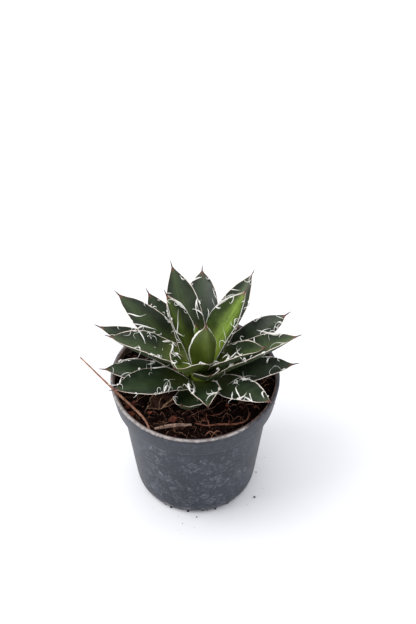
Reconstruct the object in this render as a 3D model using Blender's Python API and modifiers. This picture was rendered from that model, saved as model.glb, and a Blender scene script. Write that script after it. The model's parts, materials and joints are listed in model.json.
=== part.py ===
"""Potted agave: a rosette of thread-edged leaves on a short stem, growing in a plastic nursery pot.

The frame is +Z up, in metres, with the origin at the middle of the pot's base. Azimuths are in degrees,
counted from +X towards +Y, and the plant's front faces -Y.
"""

import math
from dataclasses import dataclass

import bmesh
import bpy
import numpy as np
from mathutils import Matrix, Vector

MM = 0.001
GAP = 0.3 * MM  # air kept between two pieces that touch

# Pot
RIM_RADIUS = 52.5 * MM
POT_HEIGHT = 90.0 * MM
LIP_WIDTH = 2.8 * MM
LIP_DEPTH = 2.4 * MM
WALL = 1.2 * MM
BAND_HEIGHT = 16.0 * MM
BAND_FOOT_RADIUS = 49.5 * MM
SHOULDER_RADIUS = 45.7 * MM
SHOULDER_DROP = 2.2 * MM
HEEL_RADIUS = 38.4 * MM
HEEL_HEIGHT = 8.4 * MM
FOOT_RADIUS = 35.0 * MM
FOOT_WIDTH = 3.6 * MM
FLOOR_CLEARANCE = 3.0 * MM  # the floor between the foot ring and the middle pad stands this high
PAD_RADIUS = 8.0 * MM
DRAIN_HOLES = 8
DRAIN_RADIUS = 3.5 * MM
DRAIN_CIRCLE = 21.0 * MM
POT_STEPS = 64

# Soil
SOIL_LEVEL = 82.0 * MM  # mean height of the soil's top
SOIL_STEPS = 64  # the same as the pot's, so that their flats lie face to face
SOIL_RINGS = 7
SOIL_RELIEF = 1.1 * MM

# Plant
PLANT_X = 3.2 * MM  # the stem stands a little to the side of the pot's axis
PLANT_Y = 0.0 * MM
STEM_DEPTH = 13.0 * MM  # how far the stem goes into the soil
STEM_RADIUS = 6.6 * MM
STEM_TOP_RADIUS = 3.2 * MM
STEM_TOP = 106.0 * MM
STEM_STEPS = 20
BUD_TIP = 137.0 * MM
BUD_RADIUS = 3.6 * MM
BUD_STEPS = 12
BUD_LEAN = 5.0  # degrees towards -X

# Leaf proportions, shared by every leaf
LEAF_STATIONS = 9
BASE_SHARE = 0.56  # the base's width over the widest
WIDEST_AT = 0.50  # where the leaf is widest, as a share of the blade
TAPER_POWER = 2.1
SPINE_LENGTH = 5.0 * MM
SPINE_WIDTH = 1.3 * MM
BASE_THICKNESS = 2.4 * MM
TIP_THICKNESS = 1.1 * MM
SEAT_GAP = 0.5 * MM


@dataclass(frozen=True)
class Leaf:
    """One leaf: its place on the stem, the pitch of its base and its tip, and its size."""

    name: str
    azimuth: float
    seat: float  # height of the base's middle above the pot's foot, mm
    rise: float  # pitch at the base, degrees above level
    lift: float  # pitch at the tip
    length: float  # base to spine point, mm
    width: float  # at the widest, mm
    channel: float  # how far the edges stand above the midrib, as a share of half the width
    roll: float = 0.0  # turn about the midrib, degrees, left edge up
    sweep: float = 0.0  # how far the heading turns to the left by the tip, degrees


LEAVES = (
    Leaf("leaf_left_low", 180, 86.5, 16, 4, 56, 17, 0.25),
    Leaf("leaf_front_low", 253, 86.5, 2, 64, 40, 18, 0.35),
    Leaf("leaf_right_low", 354, 86.5, 24, 21, 57, 19, 0.25),
    Leaf("leaf_back_low", 70, 86.5, 12, 6, 52, 18, 0.25),
    Leaf("leaf_left_front", 205, 89.5, 22, 10, 55, 20, 0.20),
    Leaf("leaf_right_front", 319, 90.0, 25, 13, 54, 19, 0.20),
    Leaf("leaf_back_left", 127, 88.5, 32, 36, 59, 17, 0.25),
    Leaf("leaf_right_back", 28, 89.0, 34, 18, 62, 20, 0.25),
    Leaf("leaf_left_back_low", 165, 92.5, 29, 16, 65, 17, 0.30),
    Leaf("leaf_front", 276, 92.5, 32, 24, 47, 20, 0.20),
    Leaf("leaf_back", 89, 92.5, 36, 24, 64, 20, 0.25),
    Leaf("leaf_right", 351, 94.5, 44, 32, 68, 19, 0.35),
    Leaf("leaf_back_right", 55, 96.5, 43, 30, 64, 19, 0.30),
    Leaf("leaf_left_back", 149, 95.3, 39, 30, 66, 20, 0.25),
    Leaf("leaf_left", 182, 101.5, 32, 23, 58, 20, 0.35),
    Leaf("leaf_upper_back", 113, 98.0, 55, 47, 63, 20, 0.25),
    Leaf("leaf_inner_front", 284, 98.5, 46, 44, 31, 15, 0.40),
    Leaf("leaf_inner_front_right", 344, 101.0, 41, 33, 46, 16, 0.55),
    Leaf("leaf_inner_front_left", 241, 103.5, 47, 36, 37, 21, 0.50),
    Leaf("leaf_inner_right", 37, 103.4, 58, 50, 52, 18, 0.45),
    Leaf("leaf_inner_left", 138, 104.5, 64, 56, 47, 15, 0.50),
    Leaf("leaf_heart", 292, 105.0, 84, 86, 42, 16, 0.55),
)

# A spent leaf has dried flat on the soil, a little way out from the stem.
DEAD_LEAF = Leaf("dead_leaf", 216, 84.8, 2, 4, 33, 15, 0.15)
DEAD_LEAF_REACH = 4.0 * MM
DEAD_LEAF_THICKNESS = 0.5

# Plant litter on the soil. A route is (x, y, height of its middle line above the soil's mean level), in mm.
STRANDS = (
    ("long_straw", 0.8, ((-70, 6, 18), (-49, -13, 9.4), (-32, -28, 3.0), (-27, -38, 2.4))),
    ("twig", 1.2, ((-24, -38, 2.8), (-13, -36, 3.4), (-2, -35, 2.8))),
    ("root", 0.6, ((0, -33, 2.2), (7, -35, 2.2), (15, -34, 2.2), (24, -34, 2.2), (31, -31, 2.2), (33, -25, 2.2))),
    ("fibre_1", 0.4, ((7, -25, 1.8), (7, -29, 2.0), (8, -33, 3.6), (9, -37, 2.4))),
    ("fibre_2", 0.4, ((10, -27, 2.0), (15, -26, 2.4), (19, -22, 2.0))),
    ("fibre_3", 0.4, ((6, -43, 2.0), (9, -40, 2.6), (13, -42, 2.0))),
)
STRAND_POINTS = 14
BARK_CHIPS = (  # x, y, turn in degrees, length, width and thickness, mm
    (-39, -19, 35, 8, 4.5, 2.2),
    (-38.5, -25.5, -20, 5, 3.5, 2.2),
    (-13, -30, 60, 7, 5, 2.0),
    (31, -12, 15, 6, 4, 2.2),
    (24, 30, -40, 7, 4, 2.4),
    (-20, 38, 10, 6, 4, 2.0),
)
CHIP_LIFT = 1.4 * MM  # air and lumps under a chip


def clear_scene():
    """Remove whatever the file opened with."""
    for existing in list(bpy.data.objects):
        bpy.data.objects.remove(existing)


def collection(name):
    """A new collection in the scene."""
    made = bpy.data.collections.new(name)
    bpy.context.scene.collection.children.link(made)
    return made


def material(name, colour, roughness, metallic=0.0):
    """A Principled material of one colour."""
    made = bpy.data.materials.new(name)
    made.use_nodes = True
    shader = made.node_tree.nodes["Principled BSDF"]
    shader.inputs["Base Color"].default_value = (*colour, 1.0)
    shader.inputs["Roughness"].default_value = roughness
    shader.inputs["Metallic"].default_value = metallic
    return made


def add_object(name, data, group, surface, parent=None):
    """Link data as an object in a collection, with one material."""
    made = bpy.data.objects.new(name, data)
    group.objects.link(made)
    data.materials.clear()
    data.materials.append(surface)
    made.parent = parent
    return made


def smooth(mesh, angle=40.0):
    """Shade a mesh smooth, apart from edges sharper than an angle in degrees."""
    mesh.shade_smooth()
    mesh.set_sharp_from_angle(angle=math.radians(angle))


def turned(name, profile, steps, group, surface, parent=None):
    """A solid of revolution about Z. The profile runs down its outer side, from the axis or back to its start."""
    mesh = bpy.data.meshes.new(name)
    closed = profile[0] != profile[-1] and profile[0][0] > 0
    edges = [(i, i + 1) for i in range(len(profile) - 1)]
    if closed:
        edges.append((len(profile) - 1, 0))
    mesh.from_pydata([(r, 0.0, z) for r, z in profile], edges, [])
    made = add_object(name, mesh, group, surface, parent)
    screw = made.modifiers.new("turn", "SCREW")
    screw.axis = "Z"
    screw.steps = steps
    screw.render_steps = steps
    screw.use_merge_vertices = True
    screw.merge_threshold = 0.00001
    screw.use_smooth_shade = True
    return made


def applied(made):
    """The object with its modifiers turned into plain mesh."""
    graph = bpy.context.evaluated_depsgraph_get()
    mesh = bpy.data.meshes.new_from_object(made.evaluated_get(graph))
    mesh.name = made.name
    made.modifiers.clear()
    made.data = mesh
    return made


def wall_radius(height, inset=0.0):
    """The pot's outer radius at a height on the straight wall, less an inset."""
    top = POT_HEIGHT - BAND_HEIGHT - SHOULDER_DROP
    share = (height - HEEL_HEIGHT) / (top - HEEL_HEIGHT)
    return HEEL_RADIUS + (SHOULDER_RADIUS - HEEL_RADIUS) * share - inset


def band_radius(height, inset=0.0):
    """The outer radius of the wider band at the pot's top, less an inset."""
    share = (height - (POT_HEIGHT - BAND_HEIGHT)) / BAND_HEIGHT
    return BAND_FOOT_RADIUS + (RIM_RADIUS - BAND_FOOT_RADIUS) * share - inset


def pot_lining():
    """The inside of the pot's section, from the middle of its floor up to the band."""
    band_foot = POT_HEIGHT - BAND_HEIGHT
    shoulder = band_foot - SHOULDER_DROP
    floor = FLOOR_CLEARANCE + WALL
    return [
        (0.0, floor),
        (FOOT_RADIUS - FOOT_WIDTH, floor),
        (wall_radius(HEEL_HEIGHT, WALL), HEEL_HEIGHT),
        (wall_radius(shoulder, WALL), shoulder + 0.5 * WALL),
        (band_radius(band_foot + 1.2 * MM, WALL), band_foot + 1.2 * MM),
    ]


def pot_profile():
    """The pot's section: down the outside, in under the floor, and up the inside to the lip."""
    band_foot = POT_HEIGHT - BAND_HEIGHT
    shoulder = band_foot - SHOULDER_DROP
    floor = FLOOR_CLEARANCE
    under_lip = POT_HEIGHT - LIP_DEPTH
    outside = [
        (RIM_RADIUS - 0.6 * MM, POT_HEIGHT),
        (RIM_RADIUS, POT_HEIGHT - 0.6 * MM),
        (band_radius(POT_HEIGHT - 3 * MM), POT_HEIGHT - 3 * MM),
        (BAND_FOOT_RADIUS, band_foot),
        (BAND_FOOT_RADIUS - 0.9 * MM, band_foot - 0.8 * MM),
        (SHOULDER_RADIUS, shoulder),
        (HEEL_RADIUS, HEEL_HEIGHT),
        (HEEL_RADIUS - 0.7 * MM, 0.4 * HEEL_HEIGHT),
        (FOOT_RADIUS, 0.0),
    ]
    underside = [
        (FOOT_RADIUS - FOOT_WIDTH, 0.0),
        (FOOT_RADIUS - FOOT_WIDTH - 0.8 * MM, floor),
        (PAD_RADIUS + 0.8 * MM, floor),
        (PAD_RADIUS, 0.0),
        (0.0, 0.0),
    ]
    mouth = [
        (band_radius(under_lip - 1.5 * MM, WALL), under_lip - 1.5 * MM),
        (RIM_RADIUS - LIP_WIDTH, under_lip),
        (RIM_RADIUS - LIP_WIDTH, POT_HEIGHT - 0.4 * MM),
        (RIM_RADIUS - LIP_WIDTH + 0.4 * MM, POT_HEIGHT),
    ]
    return outside + underside + pot_lining() + mouth


def build_pot(parts, cutters, surface):
    """The nursery pot, with drain holes through its raised floor."""
    mesh = bpy.data.meshes.new("nursery_pot")
    profile = pot_profile()
    axis_gap = profile.index((0.0, 0.0))
    edges = [(i, (i + 1) % len(profile)) for i in range(len(profile)) if i != axis_gap]
    mesh.from_pydata([(r, 0.0, z) for r, z in profile], edges, [])
    pot = add_object("nursery_pot", mesh, parts, surface)
    screw = pot.modifiers.new("turn", "SCREW")
    screw.axis = "Z"
    screw.steps = POT_STEPS
    screw.render_steps = POT_STEPS
    screw.use_merge_vertices = True
    screw.merge_threshold = 0.00001
    screw.use_smooth_shade = True

    drills = bpy.data.meshes.new("drain_drills")
    shape = bmesh.new()
    for index in range(DRAIN_HOLES):
        angle = 2 * math.pi * (index + 0.5) / DRAIN_HOLES
        place = Vector((math.cos(angle), math.sin(angle), 0.0)) * DRAIN_CIRCLE
        place.z = FLOOR_CLEARANCE + WALL / 2
        bmesh.ops.create_cone(
            shape,
            cap_ends=True,
            segments=14,
            radius1=DRAIN_RADIUS,
            radius2=DRAIN_RADIUS,
            depth=4 * WALL,
            matrix=Matrix.Translation(place),
        )
    shape.to_mesh(drills)
    shape.free()
    drill = add_object("drain_drills", drills, cutters, surface)
    drill.hide_render = True
    drill.display_type = "WIRE"
    cut = pot.modifiers.new("drain holes", "BOOLEAN")
    cut.operation = "DIFFERENCE"
    cut.object = drill
    return pot


def soil_relief(x, y):
    """Height of the soil's lumps above its mean level: three crossed waves, calm towards the stem."""
    waves = (
        np.sin(151 * x + 1.1) * np.cos(127 * y - 0.4)
        + 0.6 * np.sin(263 * x + 211 * y + 2.0)
        + 0.4 * np.cos(347 * x - 301 * y + 0.7)
    )
    return SOIL_RELIEF * waves / 2.0


def build_soil(parts, cutters, surface):
    """The compost that fills the pot, with a socket where the stem goes in."""
    edge = band_radius(SOIL_LEVEL, WALL + GAP)
    top = [(edge * ring / SOIL_RINGS, SOIL_LEVEL) for ring in range(SOIL_RINGS + 1)]
    side = [(radius - GAP, height + GAP) for radius, height in reversed(pot_lining()[:5])]
    side[-1] = (0.0, side[-1][1])
    soil = turned("potting_soil", top + side, SOIL_STEPS, parts, surface)
    applied(soil)
    points = np.empty(len(soil.data.vertices) * 3, np.float32)
    soil.data.vertices.foreach_get("co", points)
    points = points.reshape(-1, 3)
    upper = points[:, 2] > SOIL_LEVEL - 0.1 * MM
    points[upper, 2] += soil_relief(points[upper, 0], points[upper, 1])
    soil.data.vertices.foreach_set("co", points.ravel())

    depth = STEM_DEPTH + GAP
    hole = bpy.data.meshes.new("stem_socket")
    shape = bmesh.new()
    bmesh.ops.create_cone(
        shape,
        cap_ends=True,
        segments=STEM_STEPS,
        radius1=STEM_RADIUS + GAP,
        radius2=STEM_RADIUS + GAP,
        depth=2 * depth,
        matrix=Matrix.Translation((PLANT_X, PLANT_Y, SOIL_LEVEL)),
    )
    shape.to_mesh(hole)
    shape.free()
    socket = add_object("stem_socket", hole, cutters, surface)
    socket.hide_render = True
    socket.display_type = "WIRE"
    cut = soil.modifiers.new("stem socket", "BOOLEAN")
    cut.operation = "DIFFERENCE"
    cut.object = socket
    return soil


def stem_radius(height):
    """The stem's radius at a height: straight in the soil, then narrowing to the bud."""
    start = SOIL_LEVEL + 4 * MM
    share = min(max((height - start) / (STEM_TOP - start), 0.0), 1.0)
    return STEM_RADIUS + (STEM_TOP_RADIUS - STEM_RADIUS) * share**1.5


def build_stem(parts, surface, parent):
    """The short stem that every leaf sits on, from its foot in the soil to below the bud."""
    foot = SOIL_LEVEL - STEM_DEPTH
    heights = np.linspace(STEM_TOP, SOIL_LEVEL + 4 * MM, 6)
    profile = [(0.0, STEM_TOP)]
    profile += [(stem_radius(float(height)), float(height)) for height in heights]
    profile += [(STEM_RADIUS, foot + 3 * MM), (0.7 * STEM_RADIUS, foot), (0.0, foot)]
    return turned("stem", profile, STEM_STEPS, parts, surface, parent)


def build_bud(parts, surface, parent):
    """The slim cone of leaves that haven't opened yet."""
    foot = STEM_TOP + 2 * GAP
    tall = BUD_TIP - foot
    profile = [(0.0, tall)]
    for share in (0.85, 0.65, 0.45, 0.25, 0.08):
        swell = math.sin(math.pi / 2 * (1 - share) ** 0.8)
        profile.append((BUD_RADIUS * swell, tall * share))
    profile += [(0.75 * BUD_RADIUS, 0.0), (0.0, 0.0)]
    bud = turned("central_bud", profile, BUD_STEPS, parts, surface, parent)
    bud.location = (0.0, 0.0, foot)
    bud.rotation_euler = (0.0, math.radians(-BUD_LEAN), 0.0)
    return bud


def blade_width(share):
    """Half the width along the blade, as a share of the widest half: a broad base, a belly and a pointed end."""
    rise = BASE_SHARE + (1 - BASE_SHARE) * np.sin(math.pi / 2 * np.minimum(share / WIDEST_AT, 1.0))
    fall = np.clip((share - WIDEST_AT) / (1 - WIDEST_AT), 0.0, 1.0)
    return np.where(share < WIDEST_AT, rise, 1 - fall**TAPER_POWER)


def leaf_rings(leaf, thickness):
    """The leaf's sections from base to spine, eight corners each, and its point. X runs out along the leaf.

    A section's top is the parabola channel * half width * u^2 across u from -1 to 1, and its underside
    hangs below by the thickness times (1 - u^2)^0.7. The midrib bends evenly from rise to lift.
    """
    length = leaf.length * MM
    spine_share = SPINE_LENGTH / length
    stations = np.append(np.linspace(0.0, 1.0, LEAF_STATIONS) * (1 - spine_share), 1.0)
    fine = np.linspace(0.0, 1.0, 200)
    pitch = np.radians(leaf.rise + (leaf.lift - leaf.rise) * fine)
    heading = np.radians(leaf.sweep * fine)
    steps = np.stack([np.cos(pitch) * np.cos(heading), np.cos(pitch) * np.sin(heading), np.sin(pitch)], 1)
    path = np.vstack([np.zeros(3), np.cumsum((steps[1:] + steps[:-1]) / 2, axis=0)]) * length / 199
    middle = np.stack([np.interp(stations, fine, path[:, axis]) for axis in range(3)], 1)

    pitch = np.radians(leaf.rise + (leaf.lift - leaf.rise) * stations)
    heading = np.radians(leaf.sweep * stations)
    along = np.stack([np.cos(pitch) * np.cos(heading), np.cos(pitch) * np.sin(heading), np.sin(pitch)], 1)
    level = np.stack([-np.sin(heading), np.cos(heading), np.zeros_like(heading)], 1)
    upward = np.cross(along, level)
    turn = np.radians(leaf.roll) * np.minimum(stations * 3, 1.0)[:, None]
    side = level * np.cos(turn) + upward * np.sin(turn)
    normal = upward * np.cos(turn) - level * np.sin(turn)

    blade = stations[:-1] / (1 - spine_share)
    half = leaf.width * MM / 2 * blade_width(blade)
    half = np.maximum(half, SPINE_WIDTH / 2)
    thick = thickness * (BASE_THICKNESS + (TIP_THICKNESS - BASE_THICKNESS) * blade)
    across = np.array([1.0, 0.55, 0.0, -0.55, -1.0, -0.55, 0.0, 0.55])
    under = np.array([0, 0, 0, 0, 0, 1, 1, 1])
    channel = leaf.channel * np.minimum(blade * 4 + 0.3, 1.0)
    rings = []
    for index in range(LEAF_STATIONS):
        up = channel[index] * half[index] * (across**2 - 0.4)
        down = under * thick[index] * (1 - across**2) ** 0.7
        offset = np.outer(half[index] * across, side[index]) + np.outer(up - down, normal[index])
        rings.append(middle[index] + offset)
    return rings, middle[-1]


def build_leaf(leaf, parts, surface, parent, thickness=1.0, extra_reach=0.0):
    """One leaf, as a loft through its sections, closed by its spine's point and its flat base."""
    rings, point = leaf_rings(leaf, thickness)
    corners = len(rings[0])
    vertices = [tuple(corner) for ring in rings for corner in ring] + [tuple(point)]
    faces = []
    for ring in range(len(rings) - 1):
        for corner in range(corners):
            low = ring * corners + corner
            low_next = ring * corners + (corner + 1) % corners
            faces.append((low, low_next, low_next + corners, low + corners))
    last = (len(rings) - 1) * corners
    for corner in range(corners):
        faces.append((last + corner, last + (corner + 1) % corners, len(vertices) - 1))
    faces.append(tuple(range(corners))[::-1])
    mesh = bpy.data.meshes.new(leaf.name)
    mesh.from_pydata(vertices, [], faces)
    shape = bmesh.new()
    shape.from_mesh(mesh)
    bmesh.ops.triangulate(shape, faces=shape.faces)
    bmesh.ops.recalc_face_normals(shape, faces=shape.faces)
    shape.to_mesh(mesh)
    shape.free()
    smooth(mesh)
    made = add_object(leaf.name, mesh, parts, surface, parent)
    azimuth = math.radians(leaf.azimuth)
    reach = stem_radius(leaf.seat * MM - 2 * MM) + SEAT_GAP + extra_reach
    reach += 0.5 * BASE_THICKNESS * max(math.sin(math.radians(leaf.rise)), 0.0)
    made.location = (reach * math.cos(azimuth), reach * math.sin(azimuth), leaf.seat * MM)
    made.rotation_euler = (0.0, 0.0, azimuth)
    return made


def strand_points(route):
    """Points along a smooth line through a route's corners, by Catmull-Rom interpolation, in metres."""
    corners = np.array(route, float) * MM
    corners[:, 2] += SOIL_LEVEL
    ends = np.vstack([2 * corners[0] - corners[1], corners, 2 * corners[-1] - corners[-2]])
    share = np.linspace(0, len(corners) - 1, STRAND_POINTS)
    span = np.minimum(share.astype(int), len(corners) - 2)
    t = (share - span)[:, None]
    a, b, c, d = (ends[span + offset] for offset in range(4))
    return 0.5 * (2 * b + (c - a) * t + (2 * a - 5 * b + 4 * c - d) * t**2 + (3 * b - a - 3 * c + d) * t**3)


def build_strand(name, radius, route, parts, surface):
    """A straw, twig or root: a round curve that thins towards its ends."""
    points = strand_points(route)
    curve = bpy.data.curves.new(name, "CURVE")
    curve.dimensions = "3D"
    curve.bevel_depth = radius * MM
    curve.bevel_resolution = 1
    curve.use_fill_caps = True
    spline = curve.splines.new("POLY")
    spline.points.add(len(points) - 1)
    thinning = 0.6 + 0.4 * np.sin(np.linspace(0, math.pi, len(points)))
    for index, place in enumerate(points):
        spline.points[index].co = (*place, 1.0)
        spline.points[index].radius = float(thinning[index])
    return add_object(name, curve, parts, surface)


def build_chip(number, chip, parts, surface):
    """A flake of bark: a box with bevelled edges, tilted a little, above the soil's lumps."""
    x, y, turn, length, width, thickness = chip
    mesh = bpy.data.meshes.new(f"bark_chip_{number}")
    shape = bmesh.new()
    bmesh.ops.create_cube(shape, size=1.0)
    bmesh.ops.scale(shape, vec=Vector((length, width, thickness)) * MM, verts=shape.verts)
    shape.to_mesh(mesh)
    shape.free()
    made = add_object(mesh.name, mesh, parts, surface)
    ground = SOIL_LEVEL + float(soil_relief(x * MM, y * MM))
    made.location = (x * MM, y * MM, ground + CHIP_LIFT + thickness * MM / 2)
    made.rotation_euler = (math.radians(4 * (-1) ** number), math.radians(5), math.radians(turn))
    bevel = made.modifiers.new("worn edges", "BEVEL")
    bevel.width = 0.5 * MM
    bevel.segments = 1
    return made


def main():
    """Build the pot, what fills it and the plant."""
    clear_scene()
    parts = collection("potted_agave")
    cutters = collection("cutters")
    plastic = material("nursery_plastic", (0.055, 0.062, 0.075), 0.55)
    compost = material("compost", (0.03, 0.014, 0.01), 0.95)
    flesh = material("stem_flesh", (0.30, 0.36, 0.18), 0.6)
    green = material("leaf_green", (0.045, 0.085, 0.03), 0.45)
    young = material("young_leaf_green", (0.13, 0.22, 0.04), 0.45)
    dried = material("dried_leaf", (0.12, 0.05, 0.025), 0.8)
    straw = material("straw", (0.42, 0.22, 0.13), 0.7)
    bark = material("bark", (0.16, 0.055, 0.025), 0.85)

    build_pot(parts, cutters, plastic)
    build_soil(parts, cutters, compost)
    plant = bpy.data.objects.new("plant", None)
    plant.location = (PLANT_X, PLANT_Y, 0.0)
    parts.objects.link(plant)
    build_stem(parts, flesh, plant)
    build_bud(parts, young, plant)
    for leaf in LEAVES:
        build_leaf(leaf, parts, green, plant)
    build_leaf(DEAD_LEAF, parts, dried, plant, DEAD_LEAF_THICKNESS, DEAD_LEAF_REACH)
    for name, radius, route in STRANDS:
        build_strand(name, radius, route, parts, straw)
    for number, chip in enumerate(BARK_CHIPS, 1):
        build_chip(number, chip, parts, bark)


main()
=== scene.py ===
"""Looks of a potted thread-edged agave.

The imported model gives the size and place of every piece. The leaves, the pot, the stem and the soil are made
again here as finer surfaces within the same outlines, and each gets the finish of the real material. Sizes
are in metres, and every new surface is a function on a grid, worked out with numpy.
"""

import json
import logging
import math
from dataclasses import dataclass
from enum import Enum
from typing import Any, ClassVar

import bpy
import numpy as np
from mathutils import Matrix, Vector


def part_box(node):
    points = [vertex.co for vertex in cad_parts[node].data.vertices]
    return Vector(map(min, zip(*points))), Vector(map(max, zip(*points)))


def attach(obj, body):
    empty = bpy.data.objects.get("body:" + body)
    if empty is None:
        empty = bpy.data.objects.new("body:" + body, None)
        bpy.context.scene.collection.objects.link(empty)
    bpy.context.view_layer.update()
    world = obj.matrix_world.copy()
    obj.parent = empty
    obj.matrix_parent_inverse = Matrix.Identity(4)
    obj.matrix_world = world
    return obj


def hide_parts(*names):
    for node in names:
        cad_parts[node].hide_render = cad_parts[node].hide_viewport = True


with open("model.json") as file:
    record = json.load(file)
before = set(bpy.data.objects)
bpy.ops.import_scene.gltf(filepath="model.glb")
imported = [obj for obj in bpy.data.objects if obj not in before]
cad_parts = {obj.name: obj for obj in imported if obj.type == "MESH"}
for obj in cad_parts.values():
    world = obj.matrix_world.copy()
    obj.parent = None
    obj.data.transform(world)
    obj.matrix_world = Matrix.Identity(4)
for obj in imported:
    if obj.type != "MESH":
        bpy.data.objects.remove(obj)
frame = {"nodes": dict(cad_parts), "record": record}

Array = np.ndarray
MM = 0.001
BODY = "root"
LOG = logging.getLogger("potted_agave")
UV_NAME = "Surface"
TONE_NAME = "tone"


# ---------------------------------------------------------------- small tools


def linear(colour: str) -> tuple[float, float, float, float]:
    """Turn an sRGB hex colour into linear light.

    Args:
        colour: six hex digits after a #.

    Returns:
        Red, green, blue and an alpha of 1.
    """
    channels = [int(colour[place : place + 2], 16) / 255 for place in (1, 3, 5)]
    light = [c / 12.92 if c <= 0.04045 else ((c + 0.055) / 1.055) ** 2.4 for c in channels]
    return (*light, 1.0)


def ease(low: float, high: float, value: Array) -> Array:
    """A smooth step from 0 at low to 1 at high, by the cubic 3t^2 - 2t^3."""
    share = np.clip((value - low) / (high - low), 0.0, 1.0)
    return share * share * (3 - 2 * share)


def unit(vectors: Array) -> Array:
    """The vectors at length 1."""
    return vectors / np.linalg.norm(vectors, axis=-1, keepdims=True)


def circle(count: int) -> Array:
    """The angles of points spaced evenly round a circle."""
    return np.linspace(0, 2 * np.pi, count, endpoint=False)


def spread(*arrays: Array) -> Array:
    """Arrays stretched to one shape and laid side by side on a new last axis."""
    return np.stack(np.broadcast_arrays(*arrays), axis=-1)


def turned(radius: Array, turn: Array, height: Array) -> Array:
    """Places at a radius and a turn about Z: (radius * cos(turn), radius * sin(turn), height)."""
    return spread(radius * np.cos(turn), radius * np.sin(turn), height)


def ball(rows: int, columns: int, cap: float) -> Array:
    """Points of a unit ball, (sin a * cos b, sin a * sin b, -cos a), between two open caps of that angle."""
    down = np.linspace(cap, np.pi - cap, rows)[:, None]
    return turned(np.sin(down), circle(columns), -np.cos(down))


def places(mesh: bpy.types.Mesh) -> Array:
    """A mesh's points, shaped (points, 3)."""
    flat = np.empty(len(mesh.vertices) * 3, np.float32)
    mesh.vertices.foreach_get("co", flat)
    return flat.reshape(-1, 3).astype(float)


def waves(points: Array, size: float, seed: int, count: int = 14) -> Array:
    """Smooth noise: the mean of cosines that cross in random directions, scaled to spread about 1.

    Args:
        points: places, with x, y and z on the last axis.
        size: the typical distance between two crests, in the points' unit.
        seed: picks the directions and phases.
        count: how many cosines.

    Returns:
        One value for each place, mostly between -1 and 1.
    """
    rng = np.random.default_rng(seed)
    directions = unit(rng.normal(size=(count, 3))) * rng.uniform(0.6, 1.5, (count, 1))
    phases = rng.uniform(0, 2 * np.pi, count)
    return np.cos(points @ (directions.T * 2 * np.pi / size) + phases).sum(-1) / math.sqrt(count)


def grid_faces(rows: int, columns: int, wrap: bool = False) -> Array:
    """Quads between the points of a grid.

    Args:
        rows: how many rows of points.
        columns: how many points in a row.
        wrap: whether the last column joins the first.

    Returns:
        The corners of each quad, as indices into the grid's points in row order.
    """
    first = np.arange(columns if wrap else columns - 1)
    start = np.arange(rows - 1)[:, None] * columns
    low = (start + first).ravel()
    high = (start + (first + 1) % columns).ravel()
    return np.stack([low, high, high + columns, low + columns], axis=1)


def tubes(sections: Array) -> tuple[Array, Array]:
    """Closed tubes from their sections: quads round the wall and a fan at each end.

    Args:
        sections: places, shaped (tubes, rows, corners, 3).

    Returns:
        The points, and faces with four corners each, where a fan's triangle repeats its last corner.
    """
    count, rows, corners = sections.shape[:3]
    ends = np.stack([sections[:, 0].mean(1), sections[:, -1].mean(1)], axis=1)
    points = np.concatenate([sections.reshape(count, -1, 3), ends], axis=1)
    around = np.arange(corners)
    after = (around + 1) % corners
    last = (rows - 1) * corners
    middle = np.full(corners, rows * corners)
    low_fan = np.stack([after, around, middle, middle], axis=1)
    high_fan = np.stack([last + around, last + after, middle + 1, middle + 1], axis=1)
    faces = np.concatenate([grid_faces(rows, corners, True), low_fan, high_fan])
    shift = np.arange(count)[:, None, None] * points.shape[1]
    return points.reshape(-1, 3), (faces[None] + shift).reshape(-1, 4)


def tube_uv(across: Array, along: Array, middle: float = 0.0) -> Array:
    """Pattern coordinates of one closed tube.

    Args:
        across: the first coordinate of each corner of a section.
        along: the second coordinate of each section.
        middle: the first coordinate of the middles of both ends.

    Returns:
        Two coordinates for each point, in the order of tubes().
    """
    grid = spread(across, along[:, None]).reshape(-1, 2)
    return np.concatenate([grid, [[middle, along[0]], [middle, along[-1]]]])


def make_piece(
    name: str,
    points: Array,
    faces: Array,
    finish: bpy.types.Material,
    uv: Array | None = None,
    tones: Array | None = None,
    smooth: bool = True,
) -> bpy.types.Object:
    """Put a worked-out surface into a mesh object at the origin.

    Args:
        name: the piece's name.
        points: its places, shaped (points, 3).
        faces: four corners a face; a triangle repeats its last corner.
        finish: its material.
        uv: two pattern coordinates for each point.
        tones: one value for each point, which the finish reads as the attribute "tone".
        smooth: whether it is shaded smooth.

    Returns:
        The object.
    """
    corners = [face[:3] if face[2] == face[3] else face for face in faces.tolist()]
    mesh = bpy.data.meshes.new(name)
    mesh.from_pydata(points.tolist(), [], corners)
    if uv is not None:
        layer = mesh.uv_layers.new(name=UV_NAME)
        loops = np.empty(len(mesh.loops), np.int32)
        mesh.loops.foreach_get("vertex_index", loops)
        layer.uv.foreach_set("vector", uv[loops].astype(np.float32).ravel())
    if tones is not None:
        attribute = mesh.attributes.new(TONE_NAME, "FLOAT", "POINT")
        attribute.data.foreach_set("value", tones.astype(np.float32))
    if smooth:
        mesh.shade_smooth()
    mesh.materials.append(finish)
    mesh.update()
    piece = bpy.data.objects.new(name, mesh)
    bpy.context.scene.collection.objects.link(piece)
    return piece


def hand_over(piece: bpy.types.Object, slot: str, *nodes: str) -> None:
    """Ride the piece on the one body, hide the nodes that it stands for, and report it with its slot."""
    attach(piece, BODY)
    if nodes:
        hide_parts(*nodes)
    LOG.info("%s: %d faces, slot %s", piece.name, len(piece.data.polygons), slot)


# ---------------------------------------------------------------- finishes


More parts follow.
